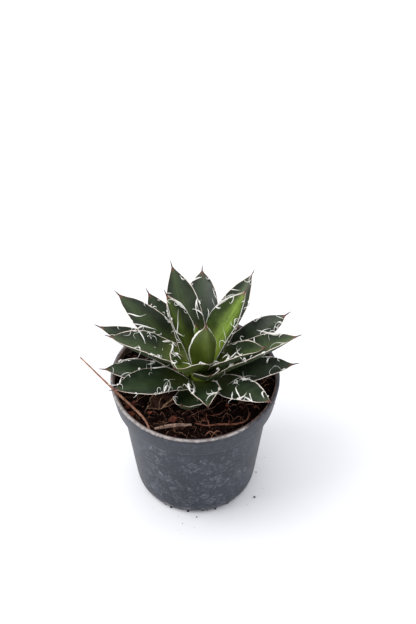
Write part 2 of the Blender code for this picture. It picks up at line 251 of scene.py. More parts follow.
PLUS = "Math.ADD"
MINUS = "Math.SUBTRACT"
TIMES = "Math.MULTIPLY"
SCALED = "Math.MULTIPLY_ADD"  # a value times a factor, plus an offset
SIZE = "Math.ABSOLUTE"
STEP = "MapRange.SMOOTHSTEP"  # 0 where a value is at the first bound, 1 at the second
MIX = "Mix.RGBA"  # a share, and the two colours
NOISE = "TexNoise"  # a place, lumps per metre, how many finer layers, and their share
SCALED_VECTOR = "VectorMath.MULTIPLY"
DOT = "VectorMath.DOT_PRODUCT"
UV = f"UVMap.{UV_NAME}"
TONE = f"Attribute.{TONE_NAME}"


class Graph:
    """A material's nodes, with one way to add them."""

    CHOICE = {
        "Attribute": "attribute_name",
        "MapRange": "interpolation_type",
        "Math": "operation",
        "Mix": "data_type",
        "TexVoronoi": "feature",
        "UVMap": "uv_map",
        "VectorMath": "operation",
    }

    def __init__(self, name: str) -> None:
        """Start a material that holds a Principled shader and the point's own coordinates, in metres."""
        self.material = bpy.data.materials.new(name)
        self.material.use_nodes = True
        self.tree = self.material.node_tree
        self.shader = self.tree.nodes["Principled BSDF"]
        self.place = self.add("TexCoord", out="Object")

    def add(
        self, kind: str, *values: Any, out: int | str | None = None, **named: Any
    ) -> bpy.types.NodeSocket:
        """Add a node with its settings and links.

        Args:
            kind: the node's type without its ShaderNode prefix, and after a dot the choice that it works by.
            values: what goes into its live inputs in order: numbers, an sRGB hex or a socket.
            out: the output to return, where it isn't the first live one.
            named: inputs by their names, with underscores for spaces, or other properties of the node.

        Returns:
            The output.
        """
        kind, _, choice = kind.partition(".")
        node = self.tree.nodes.new("ShaderNode" + kind)
        if choice:
            setattr(node, self.CHOICE[kind], choice)
        for socket, value in zip([socket for socket in node.inputs if socket.enabled], values):
            self.feed(socket, value)
        for key, value in named.items():
            if hasattr(node, key):
                setattr(node, key, value)
            else:
                self.feed(node.inputs[key.replace("_", " ")], value)
        if out is not None:
            return node.outputs[out]
        return next(socket for socket in node.outputs if socket.enabled)

    def feed(self, socket: bpy.types.NodeSocket, value: Any) -> None:
        """Link a socket to the input, or set its value."""
        if isinstance(value, bpy.types.NodeSocket):
            self.tree.links.new(value, socket)
        else:
            socket.default_value = linear(value) if isinstance(value, str) else value

    def surface(self, **inputs: Any) -> bpy.types.Material:
        """Set the shader's sockets by name, and return the material."""
        for key, value in inputs.items():
            self.feed(self.shader.inputs[key.replace("_", " ")], value)
        return self.material


class Age(Enum):
    """How old a leaf is, which sets its colours."""

    OUTER = "outer"
    MIDDLE = "middle"
    INNER = "inner"


@dataclass(frozen=True)
class LeafSkin:
    """Agave leaf: a thick waxy cuticle over green flesh. It gives a satin face with a soft, cool bloom."""

    name: str
    edge: str
    centre: str
    root: str
    tip: str
    underside: str
    # Painted shade: on the middle and inner leaves this is darker than the face, for the shade under the
    # blade.
    bloom: str
    bloom_share: float
    streak: float = 1.1 * MM
    mottle: float = 2.6 * MM
    width: float = 17 * MM
    length: float = 55 * MM

    def make(self) -> bpy.types.Material:
        """Build the material. U runs over the face from 0 to 1 and under it to 2, and V from root to tip."""
        g = Graph(self.name)
        uv = g.add(UV)
        split = g.add("SeparateXYZ", uv).node.outputs
        across = g.add("Math.PINGPONG", split[0], 1.0)
        under = g.add(STEP, split[0], 1.0, 1.04)
        along = split[1]
        middle = g.add(MINUS, 1.0, g.add(SIZE, g.add(SCALED, across, 2.0, -1.0)))
        scale = (self.width, self.length, 1.0)
        sized = g.add(SCALED_VECTOR, uv, scale)
        stretched = g.add("Mapping", sized, Scale=(1.0, 0.09, 1.0))
        streaks = g.add(NOISE, stretched, 1 / self.streak, 4.0, 0.6)
        clouds = g.add(NOISE, g.place, 1 / (9 * MM), 2.0, 0.55)
        mottles = g.add(NOISE, g.place, 1 / self.mottle, 4.0, 0.65)
        tone = g.add(TONE, out="Fac")

        zone = g.add(TIMES, g.add(STEP, middle, 0.25, 0.95), g.add(SCALED, streaks, 1.4, 0.0))
        zone = g.add(PLUS, zone, g.add(SCALED, clouds, 0.7, -0.35), use_clamp=True)
        colour = g.add(MIX, zone, self.edge, self.centre)
        # Paler towards the root: partly the leaf's own paler base, and on the middle leaves partly painted
        # light that lifts the shaded middle of the rosette.
        pale_and_lit_root = g.add(TIMES, g.add(MINUS, 1.0, g.add(STEP, along, 0.06, 0.48)), 0.9)
        colour = g.add(MIX, pale_and_lit_root, colour, self.root)
        colour = g.add(MIX, g.add(TIMES, g.add(STEP, along, 0.86, 1.0), 0.6), colour, self.tip)
        bloom = g.add(TIMES, g.add(STEP, clouds, 0.35, 0.75), self.bloom_share)
        colour = g.add(MIX, bloom, colour, self.bloom)
        dark = g.add(TIMES, g.add(STEP, mottles, 0.46, 0.30), 0.35)
        colour = g.add(MIX, dark, colour, self.edge)
        # Painted shade: the underside is mixed three quarters of the way towards the darker underside colour.
        colour = g.add(MIX, g.add(TIMES, under, 0.75), colour, self.underside)
        shade = g.add("HueSaturation", Color=colour, Value=g.add(SCALED, tone, 0.16, 1.0))
        rough = g.add(SCALED, mottles, 0.25, 0.30)
        height = g.add(PLUS, g.add(TIMES, streaks, 0.6), g.add(TIMES, mottles, 0.5))
        relief = g.add("Bump", Height=height, Distance=0.16 * MM, Strength=0.55)
        return g.surface(
            Base_Color=shade,
            Roughness=rough,
            IOR=1.45,
            Specular_IOR_Level=0.42,
            Coat_Weight=0.10,
            Coat_Roughness=0.4,
            Normal=relief,
        )


@dataclass(frozen=True)
class HornyEdge:
    """Leaf margin and its threads: dry, bleached fibre. It gives a chalky line that reddens at the tip."""

    name: str = "bleached_leaf_fibre"
    fibre: str = "#fbfaf8"
    shaded: str = "#dedad0"
    bead: str = "#ead9ca"
    tip: str = "#b08a76"

    def make(self) -> bpy.types.Material:
        """Build the material. U is 0 on the bead and 1 on loose fibre, and V runs from root to tip."""
        g = Graph(self.name)
        uv = g.add(UV)
        loose, along, _ = g.add("SeparateXYZ", uv).node.outputs
        grain = g.add(NOISE, g.place, 1 / (1.1 * MM), 3.0, 0.55)
        colour = g.add(MIX, g.add(STEP, grain, 0.35, 0.7), self.shaded, self.fibre)
        colour = g.add(MIX, g.add(TIMES, g.add(MINUS, 1.0, loose), 0.8), colour, self.bead)
        worn = g.add(PLUS, along, g.add(SCALED, grain, 0.3, -0.15))
        colour = g.add(MIX, g.add(TIMES, g.add(STEP, worn, 0.86, 1.0), 0.85), colour, self.tip)
        relief = g.add("Bump", Height=grain, Distance=0.15 * MM, Strength=0.5)
        return g.surface(Base_Color=colour, Roughness=0.7, IOR=1.5, Normal=relief)


@dataclass(frozen=True)
class SpineHorn:
    """Leaf spine: hard polished horn. It gives a reddish brown point that darkens towards its end."""

    name: str = "spine_horn"
    root: str = "#8a4c38"
    shaft: str = "#4e2a23"
    end: str = "#2c2222"

    def make(self) -> bpy.types.Material:
        """Build the material. V runs from the spine's root to its point."""
        g = Graph(self.name)
        uv = g.add(UV)
        along = g.add("SeparateXYZ", uv, out=1)
        colour = g.add(MIX, g.add(STEP, along, 0.05, 0.45), self.root, self.shaft)
        colour = g.add(MIX, g.add(STEP, along, 0.6, 0.95), colour, self.end)
        grain = g.add(NOISE, g.place, 1 / (0.7 * MM), 3.0, 0.55)
        relief = g.add("Bump", Height=grain, Distance=0.05 * MM, Strength=0.4)
        return g.surface(Base_Color=colour, Roughness=0.42, IOR=1.54, Normal=relief)


@dataclass(frozen=True)
class PotPlastic:
    """Recycled polypropylene, injection moulded. It gives a dull slate skin with lime stains and scuffs."""

    radius: float
    height: float
    band: float
    name: str = "moulded_polypropylene"
    body: str = "#292d38"
    deep: str = "#222630"
    lime: str = "#8a9099"
    # pale worn plastic for the scuffs and the lip, and also the painted highlight on the lip's lit side
    chalk_and_highlight: str = "#aba4a1"
    soiled: str = "#6a5a54"
    earth: str = "#745c50"
    tide: float = 9 * MM
    speck: float = 2.2 * MM

    def make(self) -> bpy.types.Material:
        """Build the material: tide lines where drops dried, specks between them, and a worn, chalky lip that
        is paler towards the left front, partly a painted highlight.
        """
        g = Graph(self.name)
        at = g.place
        clouds = g.add(NOISE, at, 1 / (17 * MM), 4.0, 0.6)
        flecks = g.add(NOISE, at, 1 / self.speck, 5.0, 0.72)
        level = g.add("SeparateXYZ", at, out=2)
        bare = g.add(SCALED, g.add(STEP, level, self.band, self.band + 2 * MM), -0.6, 1.0)
        stain = g.add(TIMES, self.stains(g, at, clouds, flecks), bare)
        faded = g.add(STEP, g.add(NOISE, at, 1 / (30 * MM), 2.0, 0.55), 0.3, 0.7)
        colour = g.add(MIX, faded, self.deep, self.body)
        colour = g.add(MIX, stain, colour, self.lime)
        normal = g.add("NewGeometry", out="Normal")
        flat = g.add(SCALED_VECTOR, at, (-1.0, -1.0, 0.0))
        inward = g.add(DOT, normal, flat)
        grime = g.add(TIMES, g.add(STEP, inward, 4 * MM, 25 * MM), g.add(STEP, clouds, 0.30, 0.52))
        colour = g.add(MIX, g.add(TIMES, grime, 0.85), colour, self.earth)
        facing = g.add("SeparateXYZ", normal, out=2)
        ragged = g.add(SCALED, flecks, 2.4 * MM, level)
        upper = g.add(STEP, ragged, self.height - 0.2 * MM, self.height + 0.9 * MM)
        lip = g.add(TIMES, upper, g.add(STEP, facing, -0.5, 0.5))
        away = g.add("VectorMath.LENGTH", flat)
        lip = g.add(TIMES, lip, g.add(STEP, away, self.radius - 2.4 * MM, self.radius - 1.5 * MM))
        # Painted highlight: the lip's pale wear grows towards the left front, the side the light comes from,
        # over a little wear all round.
        aside = g.add(DOT, at, (-4.2, -5.0, 0.0))
        wear_and_highlight = g.add(PLUS, aside, g.add(NOISE, at, 1 / (11 * MM), 4.0, 0.7))
        wear_and_highlight = g.add(TIMES, lip, g.add(SCALED, g.add(STEP, wear_and_highlight, 0.48, 0.76), 0.76, 0.14))
        dirt = g.add(STEP, g.add(NOISE, at, 1 / (3.2 * MM), 5.0, 0.7), 0.44, 0.58)
        within = g.add(TIMES, g.add(STEP, away, self.radius - 1.5 * MM, self.radius - 2.6 * MM), dirt)
        within = g.add(TIMES, within, g.add(STEP, level, self.height - 3 * MM, self.height - 1 * MM))
        colour = g.add(MIX, g.add(TIMES, within, 0.75), colour, self.earth)
        colour = g.add(MIX, wear_and_highlight, colour, g.add(MIX, g.add(TIMES, dirt, 0.6), self.chalk_and_highlight, self.soiled))
        rolled = g.add("Mapping", at, Scale=(1.0, 1.0, 3.0))
        scuff = g.add(TIMES, g.add(STEP, level, 0.8 * MM, 2.6 * MM), g.add(STEP, level, 8.5 * MM, 4.5 * MM))
        scuff = g.add(TIMES, scuff, g.add(STEP, g.add(NOISE, rolled, 1 / (6 * MM), 5.0, 0.7), 0.50, 0.62))
        colour = g.add(MIX, g.add(TIMES, scuff, 0.5), colour, self.chalk_and_highlight)
        rough = g.add(SCALED, stain, 0.3, 0.42)
        height = g.add(PLUS, g.add(TIMES, flecks, 0.5), stain)
        relief = g.add("Bump", Height=height, Distance=0.15 * MM, Strength=0.5)
        return g.surface(Base_Color=colour, Roughness=rough, IOR=1.49, Specular_IOR_Level=0.22, Normal=relief)

    def stains(self, g: Graph, at: Any, clouds: Any, flecks: Any) -> bpy.types.NodeSocket:
        """How much lime lies at each point: level lines of a noise, dried drops' rings, haze and specks."""
        field = g.add(NOISE, at, 1 / self.tide, 2.5, 0.5)
        lines = g.add(STEP, g.add(SIZE, g.add(MINUS, field, 0.53)), 0.020, 0.003)
        filled = g.add(STEP, field, 0.53, 0.60)
        cells = g.add("TexVoronoi.F1", at, 1 / self.tide).node.outputs
        away = g.add(SCALED, g.add(NOISE, at, 1 / (0.3 * self.tide), 2.0, 0.55), 0.22, cells["Distance"])
        size = g.add(SCALED, g.add("SeparateXYZ", cells["Color"]), 0.28, 0.20)
        rings = g.add(STEP, g.add(SIZE, g.add(MINUS, away, size)), 0.06, 0.012)
        discs = g.add(STEP, g.add(MINUS, size, away), 0.0, 0.05)
        picked = g.add(STEP, clouds, 0.28, 0.58)
        broken = g.add(STEP, flecks, 0.36, 0.60)
        ringed = g.add(TIMES, rings, g.add(SCALED, g.add(STEP, clouds, 0.42, 0.56), 0.28, 0.05))
        drawn = g.add(PLUS, g.add(TIMES, lines, 0.32), ringed)
        drawn = g.add(TIMES, g.add(TIMES, drawn, picked), broken)
        haze = g.add(TIMES, g.add("Math.MAXIMUM", g.add(TIMES, filled, broken), discs), 0.10)
        specks = g.add(TIMES, g.add(STEP, flecks, 0.50, 0.70), g.add(SCALED, picked, 0.18, 0.10))
        return g.add(PLUS, g.add(PLUS, drawn, haze), specks, use_clamp=True)


@dataclass(frozen=True)
class Earth:
    """Peat and coir compost, damp. It gives a near-black, broken surface with reddish brown specks."""

    name: str = "peat_compost"
    deep: str = "#050202"
    peat: str = "#180a07"
    coir: str = "#4c251a"

    def make(self) -> bpy.types.Material:
        """Build the material from clods of 4 mm and crumbs of 1 mm."""
        g = Graph(self.name)
        at = g.place
        clods = g.add(NOISE, at, 1 / (4 * MM), 5.0, 0.7)
        crumbs = g.add(NOISE, at, 1 / (1.0 * MM), 4.0, 0.7)
        colour = g.add(MIX, g.add(STEP, clods, 0.35, 0.62), self.deep, self.peat)
        colour = g.add(MIX, g.add(TIMES, g.add(STEP, crumbs, 0.55, 0.72), 0.8), colour, self.coir)
        height = g.add(PLUS, clods, g.add(TIMES, crumbs, 0.6))
        relief = g.add("Bump", Height=height, Distance=0.9 * MM, Strength=0.9)
        return g.surface(Base_Color=colour, Roughness=0.88, IOR=1.4, Specular_IOR_Level=0.12, Normal=relief)


@dataclass(frozen=True)
class DryFibre:
    """Dead plant fibre, such as coir, roots, straw or bark. It gives dull strands between two tones."""

    name: str
    dark: str
    light: str
    grain: float = 1.2 * MM
    roughness: float = 0.75

    def make(self) -> bpy.types.Material:
        """Build the material: the attribute "tone" and a grain choose between the two colours."""
        g = Graph(self.name)
        at = g.place
        grain = g.add(NOISE, at, 1 / self.grain, 4.0, 0.65)
        tone = g.add(TONE, out="Fac")
        share = g.add(PLUS, g.add(STEP, grain, 0.3, 0.7), tone, use_clamp=True)
        colour = g.add(MIX, share, self.dark, self.light)
        relief = g.add("Bump", Height=grain, Distance=0.25 * MM, Strength=0.7)
        return g.surface(
            Base_Color=colour,
            Roughness=self.roughness,
            IOR=1.5,
            Specular_IOR_Level=0.2,
            Normal=relief,
        )


@dataclass(frozen=True)
class WhiteBoard:
    """Matt white board, painted. It gives an even pale floor that shows only soft shade."""

    name: str = "matt_white_board"
    white: str = "#f7f7f8"

    def make(self) -> bpy.types.Material:
        """Build the material, with a grain of 5 mm that is barely there."""
        g = Graph(self.name)
        grain = g.add(NOISE, g.place, 1 / (5 * MM), 3.0, 0.55)
        colour = g.add(MIX, g.add(TIMES, grain, 0.05), self.white, "#eeeef0")
        return g.surface(Base_Color=colour, Roughness=0.85)


# ---------------------------------------------------------------- leaves


@dataclass(frozen=True)
class LeafGauge:
    """A leaf's run and sections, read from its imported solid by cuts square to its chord.

    Heights and half widths are polynomials in the share of the chord, from 0 at the base to 1 at the point.
    """

    base: Array
    along: Array
    side: Array
    up: Array
    length: float
    middle: Array
    rim: Array
    under: Array
    half: Array

    @classmethod
    def read(cls, node: str, axis: Array) -> "LeafGauge":
        """Measure a node.

        Args:
            node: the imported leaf's name.
            axis: x and y of the stem's axis.

        Returns:
            The gauge.
        """
        mesh = frame["nodes"][node].data
        mesh.calc_loop_triangles()
        corners = np.empty(len(mesh.loop_triangles) * 3, np.int32)
        mesh.loop_triangles.foreach_get("vertices", corners)
        points, index = np.unique(np.round(places(mesh), 6), axis=0, return_inverse=True)
        faces = index.reshape(-1)[corners].reshape(-1, 3)
        pairs = np.concatenate([faces[:, [0, 1]], faces[:, [1, 2]], faces[:, [2, 0]]])
        edges = np.unique(np.sort(pairs, axis=1), axis=0)

        anchor = np.array([*axis, points[:, 2].min()])
        point = points[np.linalg.norm(points - anchor, axis=1).argmax()]
        away = np.linalg.norm(points - point, axis=1)
        base = points[away > away.max() - 1.2 * MM].mean(axis=0)
        along = unit(point - base)
        side = unit(np.cross([0.0, 0.0, 1.0], along))
        up = np.cross(along, side)
        length = float(np.linalg.norm(point - base))
        local = (points - base) @ np.stack([along, side, up], axis=1)

        shares = np.linspace(0.03, 0.985, 40)
        start, end = local[edges[:, 0]], local[edges[:, 1]]
        reach = shares[:, None] * length
        inside = (start[:, 0] - reach) * (end[:, 0] - reach) < 0
        run = np.where(inside, end[:, 0] - start[:, 0], 1.0)
        cut = start[:, 1:] + ((reach - start[:, 0]) / run)[..., None] * (end - start)[:, 1:]
        rows = np.arange(len(shares))
        wide = np.where(inside, np.abs(cut[..., 0]), -1.0)
        far = wide.argmax(axis=1)
        centred = -1000 * np.abs(cut[..., 0])
        top = np.where(inside, centred + cut[..., 1], -np.inf).argmax(axis=1)
        low = np.where(inside, centred - cut[..., 1], -np.inf).argmax(axis=1)
        found = (cut[rows, top, 1], cut[rows, far, 1], cut[rows, low, 1], wide[rows, far])
        fits = [np.polyfit(shares, values, order) for values, order in zip(found, (5, 5, 5, 8))]
        return cls(base, along, side, up, length, *fits)

    def at(self, share: Array) -> tuple[Array, Array, Array, Array]:
        """The midrib's place, the heights of rim and underside over it, and the half width."""
        middle = np.polyval(self.middle, share)
        place = self.base + np.multiply.outer(share * self.length, self.along)
        place = place + middle[..., None] * self.up
        rim = np.polyval(self.rim, share) - middle
        under = np.polyval(self.under, share) - middle
        half = np.maximum(np.polyval(self.half, share), 0.0)
        return place, rim, under, half


@dataclass
class AgaveLeaf:
    """One leaf: a channelled blade, its horny edge with curling threads, and its spine."""

    node: str
    gauge: LeafGauge
    seed: int
    rows: int = 72
    face_columns: int = 21
    bead_corners: int = 8
    root: float = 3.5 * MM
    root_share: float = 0.78
    widest: float = 0.52
    fullness: float = 2.1
    breadth: float = 1.06
    curl: float = 0.06
    far_curl: float = 0.06
    spine_length: float = 4.6 * MM
    spine_radius: float = 0.70 * MM
    ripple: float = 0.22 * MM
    edge_width: float = 0.50 * MM
    band_width: float = 0.55 * MM
    # A shift of the leaf's brightness. On the leaves that lie in shade it is strongly negative, and there it
    # is painted shade.
    tint_and_painted_shade: float = 0.0
    threads: int = 20
    curl_in: float = 0.75
    strips: float = 0.22
    bare: float = 0.28
    clear: float = 0.93

    def __post_init__(self) -> None:
        """Work out the blade's rows once, for every part of the leaf."""
        self.rng = np.random.default_rng(self.seed)
        length = self.gauge.length
        end = 1 - self.spine_length / length
        self.shares = np.linspace(-self.root / length, end, self.rows)
        place, rim, under, half = self.gauge.at(np.clip(self.shares, 0.0, 1.0))
        behind = np.minimum(self.shares, 0.0)[:, None] * length
        self.place = place + behind * self.gauge.along
        blade = np.clip(self.shares / end, 0.0, 1.0)
        self.half = np.hypot(half.max() * self.breadth * self.outline(blade), 1.1 * self.spine_radius)
        self.rim = np.clip(rim, 0, 7 * MM) * ease(1.0, 0.80, blade) * self.breadth
        self.under = np.clip(under, -4 * MM, -1.0 * MM) * (0.45 + 0.55 * ease(1.0, 0.75, blade))

    def outline(self, blade: Array) -> Array:
        """The half width over the widest: a sine up from the root share, then 1 - t^fullness to the spine."""
        swell = np.sin(np.pi / 2 * np.minimum(blade / self.widest, 1.0))
        rise = self.root_share + (1 - self.root_share) * swell
        fall = np.clip((blade - self.widest) / (1 - self.widest), 0.0, 1.0)
        return np.where(blade < self.widest, rise, 1 - fall**self.fullness)

    def blade_at(self, across: Array, rows: slice | Array = slice(None)) -> Array:
        """Places on the upper face: midrib + across * half width * side + rim height * across^2 * up.

        The edges curl up by a further share of the half width, on across^3.5, and the front one may curl
        more than the back one. A ripple of a few tenths of a millimetre runs along them, and each leans its
        own way.
        """
        u = np.asarray(across)[None, :]
        lean = self.ripple * 2.2 * np.array([math.sin(self.seed), math.cos(3 * self.seed)])
        place = self.place[rows, None]
        half, rim = self.half[rows, None], self.rim[rows, None]
        calm = np.clip(half / (4 * MM), 0, 1)
        run = self.shares[rows, None] * self.gauge.length
        swell = 0.4 * np.sin(run / (1.15 * MM) + self.seed)
        swell = swell + np.sin(run / (2.9 * MM) + 2 * self.seed * np.sign(u))
        curl = np.where(u * self.gauge.side[1] < 0, self.curl, self.far_curl)
        height = rim * u**2 + curl * half * np.abs(u) ** 3.5
        height = height + calm * np.abs(u) ** 3 * (self.ripple * swell + np.where(u > 0, lean[0], lean[1]))
        height = height + calm * 0.25 * MM * np.exp(-((u / 0.10) ** 2)) * -0.6
        sideways = half * u * (1 + 0.03 * np.sin(run / (6 * MM) + self.seed + u))
        return place + sideways[..., None] * self.gauge.side + height[..., None] * self.gauge.up

    def make_blade(self, finish: bpy.types.Material) -> bpy.types.Object:
        """The blade: its face over u from -1 to 1, and an underside that hangs by keel * (1 - u^2)^0.65."""
        turn = np.linspace(0, np.pi, self.face_columns)
        over = -np.cos(turn)
        back = over[-2:0:-1]
        face = self.blade_at(over)
        sag = self.under[:, None] * np.clip(1 - back**2, 0, 1) ** 0.65
        below = self.blade_at(back) + sag[..., None] * self.gauge.up
        sections = np.concatenate([face, below], axis=1)[:, ::-1]
        points, faces = tubes(sections[None])
        u = np.concatenate([(over + 1) / 2, 1 + (1 - back) / 2])[::-1]
        uv = tube_uv(u, np.linspace(0, 1, self.rows), 0.5)
        # Each leaf's tone: random, plus its habit's shift, which on the shaded leaves is painted shade.
        tones = np.full(len(points), self.rng.uniform(-1, 1) + self.tint_and_painted_shade)
        return make_piece(f"{self.node}_blade", points, faces, finish, uv, tones)

    def edge_frames(self) -> tuple[Array, Array, Array, Array]:
        """Both edges' places, and the directions outward, along and up there, shaped (2, rows, 3)."""
        inner = self.blade_at(np.array([-0.93, 0.93])).transpose(1, 0, 2)
        edge = self.blade_at(np.array([-1.0, 1.0])).transpose(1, 0, 2)
        outward = unit(edge - inner)
        along = unit(np.gradient(edge, axis=1))
        upward = unit(np.cross(outward, along) * np.array([1.0, -1.0])[:, None, None])
        return edge, outward, along, upward

    def make_edge(self, finish: bpy.types.Material) -> bpy.types.Object:
        """The horny edge: a flat bead along each side, broader where fibre still clings, and its threads."""
        edge, outward, along, upward = self.edge_frames()
        v = np.linspace(0, 1, self.rows)
        patches = ease(-0.7, 0.5, waves(edge, 24 * MM, self.seed + 5))
        taper = ease(0.0, 0.10, v) * (0.45 + 0.55 * ease(1.0, 0.8, v))
        width = (0.5 * self.edge_width + (self.band_width - 0.5 * self.edge_width) * patches) * taper * 0.5
        width = width * (1 + 0.22 * waves(edge, 3.5 * MM, self.seed + 6).clip(-2, 2))
        turn = circle(self.bead_corners)
        flat = 0.17 * MM * taper
        centre = edge - outward * (width * 0.55)[..., None] + upward * 0.05 * MM
        sections = (
            centre[:, :, None]
            + outward[:, :, None] * (width[..., None] * np.cos(turn))[..., None]
            + upward[:, :, None] * (flat[:, None] * np.sin(turn))[..., None]
        )
        sections[1] = sections[1, :, ::-1]
        points, faces = tubes(sections)
        uv = np.full((len(points), 2), float(self.band_width > 1 * MM))
        uv[:, 1] = np.tile(np.concatenate([np.repeat(v, self.bead_corners), [0, 1]]), 2)
        thread_points, thread_faces, thread_v = self.make_threads(edge, outward, along, upward)
        faces = np.concatenate([faces, thread_faces + len(points)])
        thread_uv = np.stack([np.ones_like(thread_v), thread_v], axis=1)
        points = np.concatenate([points, thread_points])
        return make_piece(f"{self.node}_edge", points, faces, finish, np.concatenate([uv, thread_uv]))

    def make_threads(
        self, edge: Array, outward: Array, along: Array, upward: Array
    ) -> tuple[Array, Array, Array]:
        """Flat threads that peel from the edges in pairs: short curls, and long strips along the edge.

        Each is a curl in one plane. Its heading turns by k * (t + t^2) from its root to its end, so that it
        ends in a tighter hook than it starts. It is a ribbon of 0.3 to 1.2 mm that swells once on its way
        and thins to its end.

        Args:
            edge: both edges' places, shaped (2, rows, 3), as are the three directions there.
            outward: away from the blade.
            along: towards the tip.
            upward: off the blade's upper face.

        Returns:
            Points, faces and each point's share of the leaf.
        """
        rng = self.rng
        count, steps, corners = self.threads, 18, 6
        side = rng.integers(0, 2, count)
        tuft = rng.uniform(self.bare, self.clear, (count + 1) // 2) * self.rows
        row = np.repeat(tuft, 2)[:count] + rng.normal(0, 0.04 * self.rows, count)
        row = row.clip(self.bare * self.rows, self.clear * self.rows).astype(int)
        root, out = edge[side, row], outward[side, row]
        run, up = along[side, row], upward[side, row]
        strip = rng.random((count, 1)) < self.strips
        inward = rng.random((count, 1)) < self.curl_in
        reach = np.where(inward, rng.uniform(-1.1, -0.1, (count, 1)), rng.uniform(0.2, 1.0, (count, 1)))
        curling = reach * out + rng.uniform(-1.0, 0.6, (count, 1)) * run
        curling = curling + rng.uniform(0.25, 1.1, (count, 1)) * up
        peeling = rng.choice([1.0, -0.7], (count, 1)) * run - 0.35 * out
        peeling = peeling + rng.uniform(0.2, 0.8, (count, 1)) * up
        first = unit(np.where(strip, peeling, curling))
        normal = unit(np.cross(first, unit(run + rng.normal(0, 0.5, (count, 3)))))
        second = np.cross(normal, first)
        strip = strip[:, 0]
        short = rng.gamma(3.0, 1.9 * MM, count).clip(2.2 * MM, 12 * MM)
        length = np.where(strip, rng.uniform(7 * MM, 16 * MM, count), short)
        turn = np.where(strip, rng.uniform(0.2, 1.4, count), rng.uniform(1.0, 4.4, count))
        turn = turn * rng.choice([1.0, -1.0], count)
        t = np.linspace(0, 1, steps)
        wobble = rng.uniform(0.1, 0.5, (count, 1)) * np.sin(6 * t + rng.uniform(0, 6, (count, 1)))
        heading = turn[:, None] * (t + t**2) / 2 + wobble
        step = length[:, None, None] / (steps - 1)
        headings = np.cos(heading)[..., None] * first[:, None] + np.sin(heading)[..., None] * second[:, None]
        path = root[:, None] + np.cumsum(headings, axis=1) * step - headings[:, :1] * step
        aside = rng.uniform(-0.25, 0.25, (count, 1)) * length[:, None] * t**2
        path = path + normal[:, None] * aside[..., None]
        facing = -np.sin(heading)[..., None] * first[:, None] + np.cos(heading)[..., None] * second[:, None]
        wide = (0.19 * MM + rng.gamma(1.5, 0.10 * MM, (count, 1))).clip(0, 0.55 * MM)
        wide = np.where(strip[:, None], 1.3 * wide, wide)
        swell = 1 + 0.7 * np.exp(-(((t - rng.uniform(0.2, 0.7, (count, 1))) / 0.2) ** 2))
        thin = (1 - 0.85 * t**2.2) * swell * (0.55 + 0.45 * ease(0.0, 0.12, t))
        around = circle(corners)
        sections = (
            path[:, :, None]
            + normal[:, None, None] * (wide * thin)[..., None, None] * np.cos(around)[:, None]
            + facing[:, :, None] * (0.12 * MM * thin)[..., None, None] * np.sin(around)[:, None]
        )
        points, faces = tubes(sections)
        share = np.repeat(row / self.rows * 0.7, steps * corners + 2)
        return points, faces, share

    def make_spine(self, finish: bpy.types.Material) -> bpy.types.Object:
        """The spine: a cone along the midrib's last run, of radius r * (1 - t)^0.65, rooted in the blade."""
        length = self.gauge.length
        rows, corners = 24, 12
        t = np.linspace(0, 1, rows)
        share = 1 - (self.spine_length + 3.0 * MM) / length * (1 - t)
        place, _, under, _ = self.gauge.at(share)
        place = place + self.gauge.up * (0.30 * under * (1 - ease(0.2, 0.6, t)))[:, None]
        radius = self.spine_radius * (0.05 + 0.95 * (1 - t) ** 0.65) * (0.35 + 0.65 * ease(0.0, 0.3, t))
        around = circle(corners)
        ring = np.cos(around)[:, None] * self.gauge.side + np.sin(around)[:, None] * self.gauge.up
        sections = place[:, None] + radius[:, None, None] * ring
        points, faces = tubes(sections[None])
        return make_piece(f"{self.node}_spine", points, faces, finish, tube_uv(np.zeros(corners), t))


